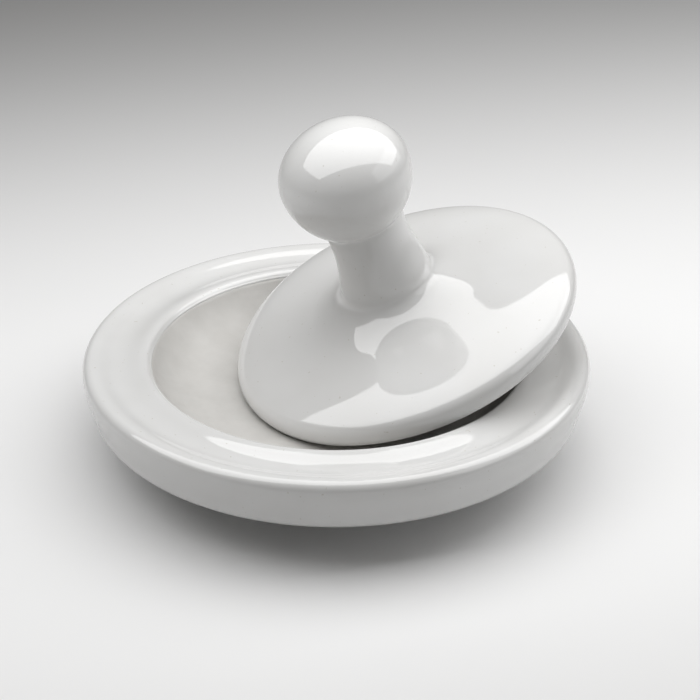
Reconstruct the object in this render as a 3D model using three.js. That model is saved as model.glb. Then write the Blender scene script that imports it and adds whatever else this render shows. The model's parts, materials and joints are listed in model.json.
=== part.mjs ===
// A two-piece porcelain crusher: a round mortar dish, and a broad pestle that rocks in its well.
// Millimetres, +Z up. The origin is the centre of the dish's foot, on the surface it stands on.
// Both pieces are turned shapes. The well's floor and the pestle's underside are parts of spheres
// about one point, the rock centre, so the pestle leans any way with the same gap under it.

import * as THREE from 'three';

// ---- driving dimensions ----

const DISH_RADIUS = 96;
const DISH_HEIGHT = 37; // from the foot to the crest of the outer lip
const MOUTH_RADIUS = 72.8; // to the crest of the inner lip, round the well

const ROCK_CENTRE_HEIGHT = 116.2;
const WELL_RADIUS = 105.2; // of the well's spherical floor
const GRINDING_GAP = 0.45; // between the well's floor and the pestle

const DISC_RADIUS = 68; // of the pestle's grinding disc
const DISC_EDGE_ROUNDING = 5.3;
const NECK_RADIUS = 15.2; // just under the knob
const KNOB_RADIUS = 24.6;
const KNOB_DROP = 9.2; // from the rock centre down to the knob's widest place
const KNOB_RISE = 19.5; // from there to the knob's top, which is flatter than a ball's
const KNOB_FALL = 24.9; // the same downwards, were the neck not there

const PESTLE_LEAN = 21; // degrees from upright, the knob towards -X

const DISH_FACETS = 64;
const PESTLE_FACETS = 56;
const KNOB_STEPS = 12;

// ---- shared helpers ----

const radians = THREE.MathUtils.degToRad;

// A point of an outline, as a radius from the turning axis and a height along it.
function at(radius, height) {
  return new THREE.Vector2(radius, height);
}

// The point at a distance from another, where 0 degrees is outwards and 90 is upwards.
function offset(from, distance, angle) {
  return at(from.x + distance * Math.cos(radians(angle)), from.y + distance * Math.sin(radians(angle)));
}

function arc(centre, radius, fromAngle, toAngle, steps) {
  const points = [];
  for (let i = 0; i <= steps; i += 1) {
    points.push(offset(centre, radius, THREE.MathUtils.lerp(fromAngle, toAngle, i / steps)));
  }
  return points;
}

// A smooth curve that leaves each end towards that end's handle; a longer handle turns more slowly.
function bend(start, startHandle, endHandle, end, steps) {
  return new THREE.CubicBezierCurve(start, startHandle, endHandle, end).getPoints(steps);
}

// Joins stretches of an outline end to end, with each shared end point there once.
function joined(...stretches) {
  const outline = [];
  for (const point of stretches.flat()) {
    const last = outline.at(-1);
    if (!last || last.distanceTo(point) > 0.01) outline.push(point);
  }
  return outline;
}

// A solid of revolution about Z. Its outline starts and ends on the axis, and goes up the outside.
function turned(name, outline, facets) {
  const geometry = new THREE.LatheGeometry(outline, facets);
  geometry.rotateX(Math.PI / 2);
  const porcelain = new THREE.MeshStandardMaterial({ color: 0xf3f2ef, roughness: 0.2, metalness: 0 });
  const mesh = new THREE.Mesh(geometry, porcelain);
  mesh.name = name;
  return mesh;
}

// ---- mortar dish ----

const FOOT_INNER_RADIUS = 45;
const FOOT_OUTER_RADIUS = 53;
const FOOT_TOP = at(54.5, 2); // where the foot ring's outer side meets the underside
const FOOT_RECESS = 3; // how far the base inside the foot ring stands clear
const RECESS_RADIUS = 42.5; // of the base inside the foot ring
const UNDER_EDGE = at(80.7, 13.6); // where the wall has finished turning under
const WALL_FOOT = at(93.6, 21); // where the wall starts to turn under
const OUTER_LIP_ROUNDING = 3.4;
const INNER_LIP_ROUNDING = 2.4;
const INNER_LIP_DROP = 0.85; // from the outer lip's crest down to the inner lip's
const TROUGH_DEPTH = 2.4; // of the rim, below the outer lip's crest
const WALL_SLOPE = 66; // degrees, of the well's wall just under the inner lip
const WALL_PULL = 20; // the wall's handle there, and the floor's at its edge
const FLOOR_PULL = 18;
const FLOOR_ANGLE = 19; // degrees from straight down, seen from the rock centre, to the floor's edge

// The base inside the foot ring, and the ring that the dish stands on.
function dishFoot() {
  return [
    at(0, FOOT_RECESS),
    at(RECESS_RADIUS, FOOT_RECESS),
    at(FOOT_INNER_RADIUS, 0),
    at(FOOT_OUTER_RADIUS, 0),
    FOOT_TOP,
  ];
}

// From the foot ring out under the dish, round its lower edge, and up the nearly upright wall.
function dishOutside() {
  const wallTop = at(DISH_RADIUS, DISH_HEIGHT - OUTER_LIP_ROUNDING);
  return joined(
    bend(FOOT_TOP, offset(FOOT_TOP, 8, 62), offset(UNDER_EDGE, 14, 186), UNDER_EDGE, 6),
    bend(UNDER_EDGE, offset(UNDER_EDGE, 6.6, 6), offset(WALL_FOOT, 4, 260), WALL_FOOT, 6),
    bend(WALL_FOOT, offset(WALL_FOOT, 5, 80), offset(wallTop, 5, 270), wallTop, 4),
    arc(offset(wallTop, OUTER_LIP_ROUNDING, 180), OUTER_LIP_ROUNDING, 0, 90, 5),
  );
}

// The rim's shallow trough, from the outer lip's crest in to the inner lip's crest.
function dishTrough() {
  const outerCrest = at(DISH_RADIUS - OUTER_LIP_ROUNDING, DISH_HEIGHT);
  const innerCrest = at(MOUTH_RADIUS, DISH_HEIGHT - INNER_LIP_DROP);
  const lowest = at((outerCrest.x + innerCrest.x) / 2, DISH_HEIGHT - TROUGH_DEPTH);
  return joined(
    bend(outerCrest, offset(outerCrest, 4, 180), offset(lowest, 4.5, 0), lowest, 5),
    bend(lowest, offset(lowest, 4.5, 180), offset(innerCrest, 3, 0), innerCrest, 5),
  );
}

// The inner lip's rounding, the well's wall, and the spherical floor that the pestle works on.
function dishWell() {
  const rockCentre = at(0, ROCK_CENTRE_HEIGHT);
  const lipCentre = at(MOUTH_RADIUS, DISH_HEIGHT - INNER_LIP_DROP - INNER_LIP_ROUNDING);
  const lip = arc(lipCentre, INNER_LIP_ROUNDING, 90, 90 + WALL_SLOPE, 3);
  const wallTop = lip.at(-1);
  const floorEdge = offset(rockCentre, WELL_RADIUS, FLOOR_ANGLE - 90);
  const wallHandle = offset(wallTop, WALL_PULL, 180 + WALL_SLOPE);
  const floorHandle = offset(floorEdge, FLOOR_PULL, FLOOR_ANGLE);
  return joined(
    lip,
    bend(wallTop, wallHandle, floorHandle, floorEdge, 8),
    arc(rockCentre, WELL_RADIUS, FLOOR_ANGLE - 90, -90, 4),
  );
}

function mortarDish() {
  const outline = joined(dishFoot(), dishOutside(), dishTrough(), dishWell());
  return turned('mortar_dish', outline, DISH_FACETS);
}

// ---- pestle, drawn upright about the rock centre ----

const RIM_SLOPE = 22; // degrees, of the disc's top where it meets the rounded edge
const DOME_FOOT = at(33.5, -66.3); // where the disc's domed top turns up into the neck's fillet
const DOME_SLOPE = 10.5; // degrees, of the disc's top there
const NECK_FOOT = at(17.7, -56); // where the fillet has become the neck
const NECK_FLARE = 4.8; // degrees from the axis, of the neck there
const NECK_TAPER = 5; // degrees from the axis, of the neck where it leaves the knob

// The spherical underside, and the rounded edge that it runs into.
function pestleDisc() {
  const undersideRadius = WELL_RADIUS - GRINDING_GAP;
  const edgeCentreRadius = DISC_RADIUS - DISC_EDGE_ROUNDING;
  const drop = Math.sqrt((undersideRadius - DISC_EDGE_ROUNDING) ** 2 - edgeCentreRadius ** 2);
  const edgeAngle = THREE.MathUtils.radToDeg(Math.atan2(-drop, edgeCentreRadius));
  return joined(
    arc(at(0, 0), undersideRadius, -90, edgeAngle, 8),
    arc(at(edgeCentreRadius, -drop), DISC_EDGE_ROUNDING, edgeAngle, 90 - RIM_SLOPE, 7),
  );
}

// A point of the knob, by its angle above the knob's widest place.
function knobPoint(angle) {
  const height = Math.sin(radians(angle)) * (angle > 0 ? KNOB_RISE : KNOB_FALL);
  return at(KNOB_RADIUS * Math.cos(radians(angle)), height - KNOB_DROP);
}

function creaseAngle() {
  return THREE.MathUtils.radToDeg(Math.acos(NECK_RADIUS / KNOB_RADIUS));
}

// The domed top of the disc, its fillet, and the waisted neck as far as the crease under the knob.
function pestleNeck(rim) {
  const crease = knobPoint(-creaseAngle());
  const domeHandle = offset(DOME_FOOT, 12, -DOME_SLOPE);
  const filletHandle = offset(DOME_FOOT, 4.5, 180 - DOME_SLOPE);
  const flareHandle = offset(NECK_FOOT, 6, 270 + NECK_FLARE);
  const waistHandle = offset(NECK_FOOT, 8, 90 + NECK_FLARE);
  const taperHandle = offset(crease, 16, 270 - NECK_TAPER);
  return joined(
    bend(rim, offset(rim, 9, 180 - RIM_SLOPE), domeHandle, DOME_FOOT, 5),
    bend(DOME_FOOT, filletHandle, flareHandle, NECK_FOOT, 6),
    bend(NECK_FOOT, waistHandle, taperHandle, crease, 5),
  );
}

function pestleKnob() {
  const points = [];
  for (let i = 0; i <= KNOB_STEPS; i += 1) {
    points.push(knobPoint(THREE.MathUtils.lerp(-creaseAngle(), 90, i / KNOB_STEPS)));
  }
  return points;
}

function pestle() {
  const disc = pestleDisc();
  const outline = joined(disc, pestleNeck(disc.at(-1)), pestleKnob());
  const mesh = turned('pestle', outline, PESTLE_FACETS);
  mesh.position.z = ROCK_CENTRE_HEIGHT;
  mesh.rotation.y = -radians(PESTLE_LEAN);
  return mesh;
}

// ---- the object ----

const crusher = new THREE.Group();
crusher.add(mortarDish());
crusher.add(pestle());

export default crusher;
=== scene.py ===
# The shown surfaces of a two-piece porcelain crusher: a mortar dish, and a pestle leaning in its
# well. Each CAD node is replaced by a finer turned mesh of the same shape, with rounded corners,
# a glaze whose coats end in a rolled bead, and bare porcelain where the pieces rub or stand.

import json
import math

import bpy
from mathutils import Matrix, Vector, noise


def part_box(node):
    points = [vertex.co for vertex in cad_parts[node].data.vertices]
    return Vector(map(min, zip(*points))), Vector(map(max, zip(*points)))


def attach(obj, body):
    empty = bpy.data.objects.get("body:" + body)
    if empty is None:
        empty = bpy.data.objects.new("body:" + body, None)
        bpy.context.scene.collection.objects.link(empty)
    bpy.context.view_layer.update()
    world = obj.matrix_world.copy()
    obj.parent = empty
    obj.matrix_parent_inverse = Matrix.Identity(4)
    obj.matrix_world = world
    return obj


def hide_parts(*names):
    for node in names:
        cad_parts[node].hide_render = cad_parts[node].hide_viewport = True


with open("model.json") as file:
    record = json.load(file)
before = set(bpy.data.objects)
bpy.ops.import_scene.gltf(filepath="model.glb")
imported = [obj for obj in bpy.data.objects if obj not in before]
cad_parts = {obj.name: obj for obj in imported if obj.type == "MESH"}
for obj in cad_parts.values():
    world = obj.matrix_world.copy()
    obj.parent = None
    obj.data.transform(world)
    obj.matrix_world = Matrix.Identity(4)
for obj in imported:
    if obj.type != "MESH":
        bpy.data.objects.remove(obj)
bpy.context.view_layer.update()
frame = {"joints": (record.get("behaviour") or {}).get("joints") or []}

MM = 0.001

# ---- driving dimensions, mm: the frame's own where it has them ----

dish_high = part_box("mortar_dish")[1]
DISH_RADIUS = dish_high.x / MM
DISH_HEIGHT = dish_high.z / MM
MOUTH_RADIUS = 72.8  # to the crest of the inner lip, round the well

ROCK_CENTRE = Vector(frame["joints"][0]["pos_m"])
ROCK_CENTRE_HEIGHT = ROCK_CENTRE.z / MM
WELL_RADIUS = 105.2  # of the well's spherical floor
GRINDING_GAP = 0.45  # between the well's floor and the pestle

DISC_RADIUS = 68  # of the pestle's grinding disc
DISC_EDGE_ROUNDING = 5.3
NECK_RADIUS = 15.2  # just under the knob
KNOB_RADIUS = 24.6
KNOB_DROP = 9.2  # from the rock centre down to the knob's widest place
KNOB_RISE = 19.5  # from there to the knob's top
KNOB_FALL = 24.9  # the same downwards, were the neck not there
PESTLE_LEAN = math.radians(21)

GLAZE = 0  # material numbers of a turned piece
BARE = 1
BEAD_LENGTH = 1.2  # of the rolled edge where a coat of glaze ends
BEAD_HEIGHT = 0.15
BEAD_STEPS = 8
DISH_SEGMENTS = 320
PESTLE_SEGMENTS = 288

UNEVENNESS = 0.05  # how far hand finishing leaves the surface off a true round
UNEVENNESS_SPREAD = 38  # from one swelling to the next
EVEN_RADIUS = 12  # nearer the axis than this the surface is truer
SAME_POINT = 0.02  # closer points of an outline count as one


# ---- outlines: lists of (radius, height) points ----

def offset(start, distance, angle):
    """The point at a distance from another, where 0 degrees is outwards and 90 is upwards."""
    turn = math.radians(angle)
    return (start[0] + distance * math.cos(turn), start[1] + distance * math.sin(turn))


def arc(centre, radius, from_angle, to_angle, steps):
    angles = [from_angle + (to_angle - from_angle) * i / steps for i in range(steps + 1)]
    return [offset(centre, radius, angle) for angle in angles]


def bend(start, start_handle, end_handle, end, steps):
    points = []
    for i in range(steps + 1):
        t = i / steps
        weights = ((1 - t) ** 3, 3 * t * (1 - t) ** 2, 3 * t * t * (1 - t), t ** 3)
        corners = (start, start_handle, end_handle, end)
        points.append(tuple(sum(w * c[k] for w, c in zip(weights, corners)) for k in (0, 1)))
    return points


class Outline:
    """Rows of a turned piece, from the axis below, round the outside, to the axis above."""

    def __init__(self):
        self.points = []
        self.materials = []

    def add(self, points, material):
        for point in points:
            if self.points and math.dist(self.points[-1], point) < SAME_POINT:
                continue
            self.points.append(point)
            self.materials.append(material)


def bead(start, angle):
    """The rolled end of a coat of glaze, a little proud of an outline that runs at that angle."""
    points = []
    for i in range(BEAD_STEPS + 1):
        t = i / BEAD_STEPS
        foot = offset(start, BEAD_LENGTH * t, angle)
        points.append(offset(foot, BEAD_HEIGHT * math.sin(math.pi * t), angle - 90))
    return points


def beyond_bead(points):
    """A stretch without the part that the bead at its start covers."""
    return [point for point in points if math.dist(point, points[0]) > BEAD_LENGTH]


# ---- turned meshes ----

def turned(name, outline, segments, rest):
    """A mesh of an outline turned about Z, a little uneven, and then placed by a matrix."""
    rows = outline.points[1:-1]
    vertices = [(0, 0, outline.points[0][1] * MM)]
    for radius, height in rows:
        for s in range(segments):
            turn = 2 * math.pi * s / segments
            place = Vector((radius * math.cos(turn), radius * math.sin(turn), height))
            swell = 1 + UNEVENNESS * noise.noise(place / UNEVENNESS_SPREAD) / max(radius, EVEN_RADIUS)
            vertices.append((place.x * swell * MM, place.y * swell * MM, height * MM))
    vertices.append((0, 0, outline.points[-1][1] * MM))
    last = len(vertices) - 1
    faces = []
    numbers = []
    for s in range(segments):
        faces.append((0, 1 + (s + 1) % segments, 1 + s))
        numbers.append(outline.materials[1])
    for r in range(len(rows) - 1):
        low = 1 + r * segments
        high = low + segments
        for s in range(segments):
            t = (s + 1) % segments
            faces.append((low + s, low + t, high + t, high + s))
            numbers.append(outline.materials[r + 2])
    top = 1 + (len(rows) - 1) * segments
    for s in range(segments):
        faces.append((last, top + s, top + (s + 1) % segments))
        numbers.append(outline.materials[-1])
    mesh = bpy.data.meshes.new(name)
    mesh.from_pydata([rest @ Vector(vertex) for vertex in vertices], [], faces)
    mesh.polygons.foreach_set("material_index", numbers)
    mesh.polygons.foreach_set("use_smooth", [True] * len(faces))
    mesh.update()
    piece = bpy.data.objects.new(name, mesh)
    bpy.context.scene.collection.objects.link(piece)
    return piece


def settle(piece, body, node, materials):
    """Gives a piece its materials, its body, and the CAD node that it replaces."""
    for material in materials:
        piece.data.materials.append(material)
    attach(piece, body)
    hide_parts(node)


# ---- mortar dish ----

FOOT_INNER_RADIUS = 45
FOOT_OUTER_RADIUS = 53
FOOT_TOP = (54.5, 2)  # where the foot ring's outer side meets the underside
FOOT_TOP_SLOPE = 62  # degrees, of the underside there
FOOT_RECESS = 3  # how far the base inside the foot ring stands clear
FOOT_ROUNDING = 0.8
RECESS_EDGE = (42.5, FOOT_RECESS)
UNDER_EDGE = (80.7, 13.6)  # where the wall has finished turning under
WALL_FOOT = (93.6, 21)  # where the wall starts to turn under
OUTER_LIP_ROUNDING = 3.4
INNER_LIP_ROUNDING = 2.4
INNER_LIP_DROP = 0.85  # from the outer lip's crest down to the inner lip's
TROUGH_DEPTH = 2.4  # of the rim, below the outer lip's crest
WALL_SLOPE = 66  # degrees, of the well's wall just under the inner lip
WALL_PULL = 20  # the wall's handle there, and the floor's at its edge
FLOOR_PULL = 18
FLOOR_ANGLE = 19  # degrees from straight down, seen from the rock centre, to the floor's edge


def add_foot(outline):
    """The hollow base, and the foot ring with its bare standing face."""
    base = ((0, FOOT_RECESS), (14, FOOT_RECESS), (28, FOOT_RECESS), RECESS_EDGE)
    outline.add(bend(*base, 14), GLAZE)
    inner = (FOOT_INNER_RADIUS, FOOT_ROUNDING)
    inner_side = bend(RECESS_EDGE, offset(RECESS_EDGE, 1.2, 0), offset(inner, 1, 110), inner, 6)
    outline.add(inner_side, GLAZE)
    inner_corner = (FOOT_INNER_RADIUS + FOOT_ROUNDING, FOOT_ROUNDING)
    outer_corner = (FOOT_OUTER_RADIUS - FOOT_ROUNDING, FOOT_ROUNDING)
    face = ((FOOT_INNER_RADIUS + 1, 0), (47, 0), (50, 0), (FOOT_OUTER_RADIUS - 1, 0))
    outline.add(arc(inner_corner, FOOT_ROUNDING, 180, 270, 5), BARE)
    outline.add(bend(*face, 8), BARE)
    outline.add(arc(outer_corner, FOOT_ROUNDING, 270, 370, 5), BARE)


def add_outside(outline):
    """The underside, the rounded lower edge, the nearly upright wall, and the outer lip."""
    wall_top = (DISH_RADIUS, DISH_HEIGHT - OUTER_LIP_ROUNDING)
    under_handle = offset(FOOT_TOP, 8, FOOT_TOP_SLOPE)
    under = bend(FOOT_TOP, under_handle, offset(UNDER_EDGE, 14, 186), UNDER_EDGE, 22)
    edge = bend(UNDER_EDGE, offset(UNDER_EDGE, 6.6, 6), offset(WALL_FOOT, 4, 260), WALL_FOOT, 20)
    wall = bend(WALL_FOOT, offset(WALL_FOOT, 5, 80), offset(wall_top, 5, 270), wall_top, 12)
    lip = arc(offset(wall_top, OUTER_LIP_ROUNDING, 180), OUTER_LIP_ROUNDING, 0, 90, 14)
    for stretch in (bead(FOOT_TOP, FOOT_TOP_SLOPE), beyond_bead(under), edge, wall, lip):
        outline.add(stretch, GLAZE)


def add_trough(outline):
    """The rim's shallow trough, from the outer lip's crest in to the inner lip's crest."""
    outer = (DISH_RADIUS - OUTER_LIP_ROUNDING, DISH_HEIGHT)
    inner = (MOUTH_RADIUS, DISH_HEIGHT - INNER_LIP_DROP)
    lowest = ((outer[0] + inner[0]) / 2, DISH_HEIGHT - TROUGH_DEPTH)
    outline.add(bend(outer, offset(outer, 4, 180), offset(lowest, 4.5, 0), lowest, 20), GLAZE)
    outline.add(bend(lowest, offset(lowest, 4.5, 180), offset(inner, 3, 0), inner, 20), GLAZE)


def add_well(outline):
    """The glazed inner lip, and the bare wall and spherical floor of the well."""
    rock_centre = (0, ROCK_CENTRE_HEIGHT)
    lip_centre = (MOUTH_RADIUS, DISH_HEIGHT - INNER_LIP_DROP - INNER_LIP_ROUNDING)
    inner_lip = arc(lip_centre, INNER_LIP_ROUNDING, 90, 90 + WALL_SLOPE, 8)
    outline.add(inner_lip, GLAZE)
    wall_top = inner_lip[-1]
    floor_edge = offset(rock_centre, WELL_RADIUS, FLOOR_ANGLE - 90)
    wall_handle = offset(wall_top, WALL_PULL, 180 + WALL_SLOPE)
    floor_handle = offset(floor_edge, FLOOR_PULL, FLOOR_ANGLE)
    outline.add(bead(wall_top, 180 + WALL_SLOPE), GLAZE)
    outline.add(beyond_bead(bend(wall_top, wall_handle, floor_handle, floor_edge, 48)), BARE)
    outline.add(arc(rock_centre, WELL_RADIUS, FLOOR_ANGLE - 90, -90, 20), BARE)


def dish_outline():
    outline = Outline()
    add_foot(outline)
    add_outside(outline)
    add_trough(outline)
    add_well(outline)
    return outline


# ---- pestle, drawn upright about the rock centre ----

RIM_SLOPE = 22  # degrees, of the disc's top where it meets the rounded edge
DOME_FOOT = (33.5, -66.3)  # where the disc's domed top turns up into the neck's fillet
DOME_SLOPE = 10.5  # degrees, of the disc's top there
NECK_FOOT = (17.7, -56)  # where the fillet has become the neck
NECK_FLARE = 4.8  # degrees from the axis, of the neck there
NECK_TAPER = 5  # degrees from the axis, of the neck where it leaves the knob
CREASE_ROUNDING = 1.1  # of the glaze in the crease under the knob
CREASE_ANGLE = math.degrees(math.acos(NECK_RADIUS / KNOB_RADIUS))
KNOB_STEPS = 64


def knob_point(angle):
    """A point of the knob, by its angle above the knob's widest place."""
    turn = math.radians(angle)
    height = math.sin(turn) * (KNOB_RISE if angle > 0 else KNOB_FALL)
    return (KNOB_RADIUS * math.cos(turn), height - KNOB_DROP)


def add_disc(outline):
    """The bare spherical underside, and the glazed rounded edge. Gives the edge's last point."""
    underside = WELL_RADIUS - GRINDING_GAP
    edge_radius = DISC_RADIUS - DISC_EDGE_ROUNDING
    drop = math.sqrt((underside - DISC_EDGE_ROUNDING) ** 2 - edge_radius ** 2)
    edge_angle = math.degrees(math.atan2(-drop, edge_radius))
    outline.add(arc((0, 0), underside, -90, edge_angle, 40), BARE)
    edge = arc((edge_radius, -drop), DISC_EDGE_ROUNDING, edge_angle, 90 - RIM_SLOPE, 28)
    outline.add(bead(edge[0], edge_angle + 90), GLAZE)
    outline.add(beyond_bead(edge), GLAZE)
    return edge[-1]


def add_neck(outline, rim):
    """The disc's domed top, its fillet, and the neck up to the crease. Gives its last point."""
    crease = knob_point(-CREASE_ANGLE)
    rim_handle = offset(rim, 9, 180 - RIM_SLOPE)
    dome_handle = offset(DOME_FOOT, 12, -DOME_SLOPE)
    fillet_handle = offset(DOME_FOOT, 4.5, 180 - DOME_SLOPE)
    flare_handle = offset(NECK_FOOT, 6, 270 + NECK_FLARE)
    waist_handle = offset(NECK_FOOT, 8, 90 + NECK_FLARE)
    taper_handle = offset(crease, 16, 270 - NECK_TAPER)
    outline.add(bend(rim, rim_handle, dome_handle, DOME_FOOT, 40), GLAZE)
    outline.add(bend(DOME_FOOT, fillet_handle, flare_handle, NECK_FOOT, 30), GLAZE)
    neck = bend(NECK_FOOT, waist_handle, taper_handle, crease, 40)
    neck = [point for point in neck if math.dist(point, crease) > CREASE_ROUNDING]
    outline.add(neck, GLAZE)
    return neck[-1]


def add_knob(outline, neck_end):
    """The rounded crease, and the knob above it."""
    start_angle = math.degrees(CREASE_ROUNDING / KNOB_RADIUS) - CREASE_ANGLE
    climb = 90 - start_angle
    knob = [knob_point(start_angle + climb * i / KNOB_STEPS) for i in range(KNOB_STEPS + 1)]
    half = CREASE_ROUNDING / 2
    neck_pull = offset(neck_end, half, 80 + NECK_TAPER)
    knob_pull = offset(knob[0], half, start_angle - 90)
    outline.add(bend(neck_end, neck_pull, knob_pull, knob[0], 6), GLAZE)
    outline.add(knob, GLAZE)


def pestle_outline():
    outline = Outline()
    rim = add_disc(outline)
    neck_end = add_neck(outline, rim)
    add_knob(outline, neck_end)
    return outline


# ---- materials ----

class Nodes:
    """Short calls for building a material's node tree."""

    def __init__(self, name):
        self.material = bpy.data.materials.new(name)
        self.material.use_nodes = True
        self.tree = self.material.node_tree
        self.shader = self.tree.nodes["Principled BSDF"]
        self.place = self.add("ShaderNodeTexCoord").outputs["Object"]

    def add(self, kind, **settings):
        node = self.tree.nodes.new(kind)
        for key, value in settings.items():
            setattr(node, key, value)
        return node

    def link(self, source, socket):
        self.tree.links.new(source, socket)

    def noise(self, size_mm, detail=3.0, roughness=0.5):
        node = self.add("ShaderNodeTexNoise")
        self.link(self.place, node.inputs["Vector"])
        node.inputs["Scale"].default_value = 1 / (size_mm * MM)
        node.inputs["Detail"].default_value = detail
        node.inputs["Roughness"].default_value = roughness
        return node.outputs["Fac"]

    def ramp(self, source, low, high, from_value, to_value):
        node = self.add("ShaderNodeMapRange")
        self.link(source, node.inputs["Value"])
        node.inputs["From Min"].default_value = low
        node.inputs["From Max"].default_value = high
        node.inputs["To Min"].default_value = from_value
        node.inputs["To Max"].default_value = to_value
        return node.outputs["Result"]

    def mix(self, factor, first, second):
        node = self.add("ShaderNodeMix", data_type="RGBA")
        self.link(factor, node.inputs["Factor"])
        for socket, value in (("A", first), ("B", second)):
            target = next(i for i in node.inputs if i.name == socket and i.type == "RGBA")
            if isinstance(value, tuple):
                target.default_value = (*value, 1)
            else:
                self.link(value, target)
        return next(o for o in node.outputs if o.type == "RGBA")

    def bump(self, height, strength, distance_mm, below=None):
        node = self.add("ShaderNodeBump")
        self.link(height, node.inputs["Height"])
        node.inputs["Strength"].default_value = strength
        node.inputs["Distance"].default_value = distance_mm * MM
        if below is not None:
            self.link(below, node.inputs["Normal"])
        return node.outputs["Normal"]


def glaze():
    """Smooth clear glaze over white, with faint changes of tone and a few iron specks."""
    n = Nodes("clear_glaze_on_porcelain")
    tone = n.ramp(n.noise(34, 2), 0.35, 0.65, 0, 1)
    white = n.mix(tone, (0.665, 0.663, 0.655), (0.69, 0.69, 0.685))
    specks = n.ramp(n.noise(1.1, 0), 0.82, 0.86, 0, 1)
    n.link(n.mix(specks, white, (0.56, 0.545, 0.51)), n.shader.inputs["Base Color"])
    n.link(n.ramp(n.noise(16, 4), 0.3, 0.7, 0.03, 0.06), n.shader.inputs["Roughness"])
    waves = n.bump(n.noise(7, 1), 0.10, 0.05)
    n.link(n.bump(n.noise(1.2, 2), 0.05, 0.01, waves), n.shader.inputs["Normal"])
    n.shader.inputs["IOR"].default_value = 1.7
    return n.material


def bare_porcelain():
    """Fired porcelain without glaze: matt, fine-grained, and a little darker, as painted shade for
    the deep well.
    """
    n = Nodes("bare_porcelain")
    tone = n.ramp(n.noise(14, 5, 0.6), 0.3, 0.7, 0, 1)
    # Both tones are set a little darker than the porcelain itself, as painted shade for the well;
    # they colour the foot ring and the pestle's underside too.
    body = n.mix(tone, (0.53, 0.52, 0.50), (0.59, 0.58, 0.56))
    n.link(body, n.shader.inputs["Base Color"])
    n.link(n.ramp(n.noise(3, 4), 0.3, 0.7, 0.62, 0.85), n.shader.inputs["Roughness"])
    n.link(n.bump(n.noise(0.5, 4, 0.6), 0.5, 0.06), n.shader.inputs["Normal"])
    return n.material


def floor_paper():
    """Plain pale backdrop paper."""
    n = Nodes("backdrop_paper")
    tone = n.ramp(n.noise(400, 2), 0.3, 0.7, 0, 1)
    n.link(n.mix(tone, (0.79, 0.79, 0.79), (0.81, 0.81, 0.81)), n.shader.inputs["Base Color"])
    n.shader.inputs["Roughness"].default_value = 0.7
    n.link(n.bump(n.noise(2, 3), 0.1, 0.05), n.shader.inputs["Normal"])
    return n.material


# ---- building the pieces ----

glaze_material = glaze()
bare_material = bare_porcelain()

dish = turned("mortar_dish_porcelain", dish_outline(), DISH_SEGMENTS, Matrix())
settle(dish, "dish", "mortar_dish", (glaze_material, bare_material))

pestle_rest = Matrix.Translation(ROCK_CENTRE) @ Matrix.Rotation(-PESTLE_LEAN, 4, "Y")
pestle = turned("pestle_porcelain", pestle_outline(), PESTLE_SEGMENTS, pestle_rest)
settle(pestle, "pestle", "pestle", (glaze_material, bare_material))

# ---- stage, light and camera ----

SCENE_TURN = math.radians(-22.0)  # of the light and camera about the upright axis
FLOOR_RINGS = (0.4, 1.2, 3.0, 7.0)  # radii, metres
FLOOR_SEGMENTS = 64
OVERHEAD_YAW = math.radians(14.8)

CAMERA_LENS = 87.8
SENSOR_WIDTH = 36
CAMERA_ELEVATION = math.radians(28.7)
CAMERA_DISTANCE = 0.650  # metres, from the point it looks at
CAMERA_AIM = (0.0051, 0, -0.0011)  # metres, from the centre of the dish's top

STUDIO_COLOUR = (1.0, 0.965, 0.91, 1)  # of the faint fill from all round
STUDIO_STRENGTH = 0.07


def turned_to_scene(x, y, z):
    return Matrix.Rotation(SCENE_TURN, 3, "Z") @ Vector((x, y, z))


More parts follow.
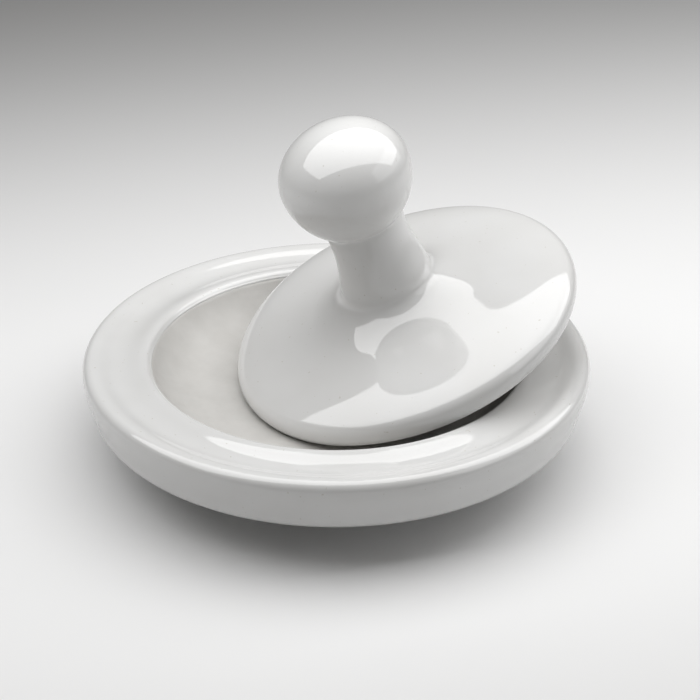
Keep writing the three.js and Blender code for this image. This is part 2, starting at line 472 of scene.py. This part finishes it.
def add_floor():
    mesh = bpy.data.meshes.new("floor")
    count = FLOOR_SEGMENTS
    vertices = [(0, 0, 0)]
    for radius in FLOOR_RINGS:
        for s in range(count):
            turn = 2 * math.pi * s / count
            vertices.append((radius * math.cos(turn), radius * math.sin(turn), 0))
    faces = [(0, 1 + s, 1 + (s + 1) % count) for s in range(count)]
    for r in range(len(FLOOR_RINGS) - 1):
        for s in range(count):
            t = (s + 1) % count
            low = 1 + r * count
            faces.append((low + s, low + count + s, low + count + t, low + t))
    mesh.from_pydata(vertices, [], faces)
    floor = bpy.data.objects.new("floor", mesh)
    bpy.context.scene.collection.objects.link(floor)
    mesh.materials.append(floor_paper())


def add_softbox(name, centre, across, facing, width, depth, power):
    """A rectangular light: sizes in metres, power in watts, its width along `across`."""
    light = bpy.data.lights.new(name, "AREA")
    light.shape = "RECTANGLE"
    light.size = width
    light.size_y = depth
    light.energy = power
    box = bpy.data.objects.new(name, light)
    bpy.context.scene.collection.objects.link(box)
    z = -facing.normalized()
    x = (across - z * across.dot(z)).normalized()
    y = z.cross(x)
    box.matrix_world = Matrix.Translation(centre) @ Matrix((x, y, z)).transposed().to_4x4()


def add_camera():
    data = bpy.data.cameras.new("camera")
    data.lens = CAMERA_LENS
    data.sensor_width = SENSOR_WIDTH
    camera = bpy.data.objects.new("camera", data)
    bpy.context.scene.collection.objects.link(camera)
    away = turned_to_scene(0, -math.cos(CAMERA_ELEVATION), math.sin(CAMERA_ELEVATION))
    target = Vector((0, 0, DISH_HEIGHT * MM)) + turned_to_scene(*CAMERA_AIM)
    camera.location = target + away * CAMERA_DISTANCE
    camera.rotation_euler = away.to_track_quat("Z", "Y").to_euler()
    bpy.context.scene.camera = camera


add_floor()
add_softbox(
    "softbox_overhead",
    centre=turned_to_scene(0.085, 0.055, 0.38),
    across=turned_to_scene(math.cos(OVERHEAD_YAW), math.sin(OVERHEAD_YAW), 0),
    facing=turned_to_scene(0, 0, -1),
    width=1.2,
    depth=0.414,
    power=3.75,
)
add_softbox(
    "reflector_right",
    centre=turned_to_scene(0.85, -0.05, 0.56),
    across=turned_to_scene(0, 1, 0),
    facing=turned_to_scene(-0.85, 0, -0.45),
    width=1.3,
    depth=0.6,
    power=2.0,
)
add_camera()

world = bpy.data.worlds.new("studio")
bpy.context.scene.world = world
world.use_nodes = True
backdrop = world.node_tree.nodes["Background"]
backdrop.inputs["Color"].default_value = STUDIO_COLOUR
backdrop.inputs["Strength"].default_value = STUDIO_STRENGTH
bpy.context.scene.view_settings.view_transform = "Standard"
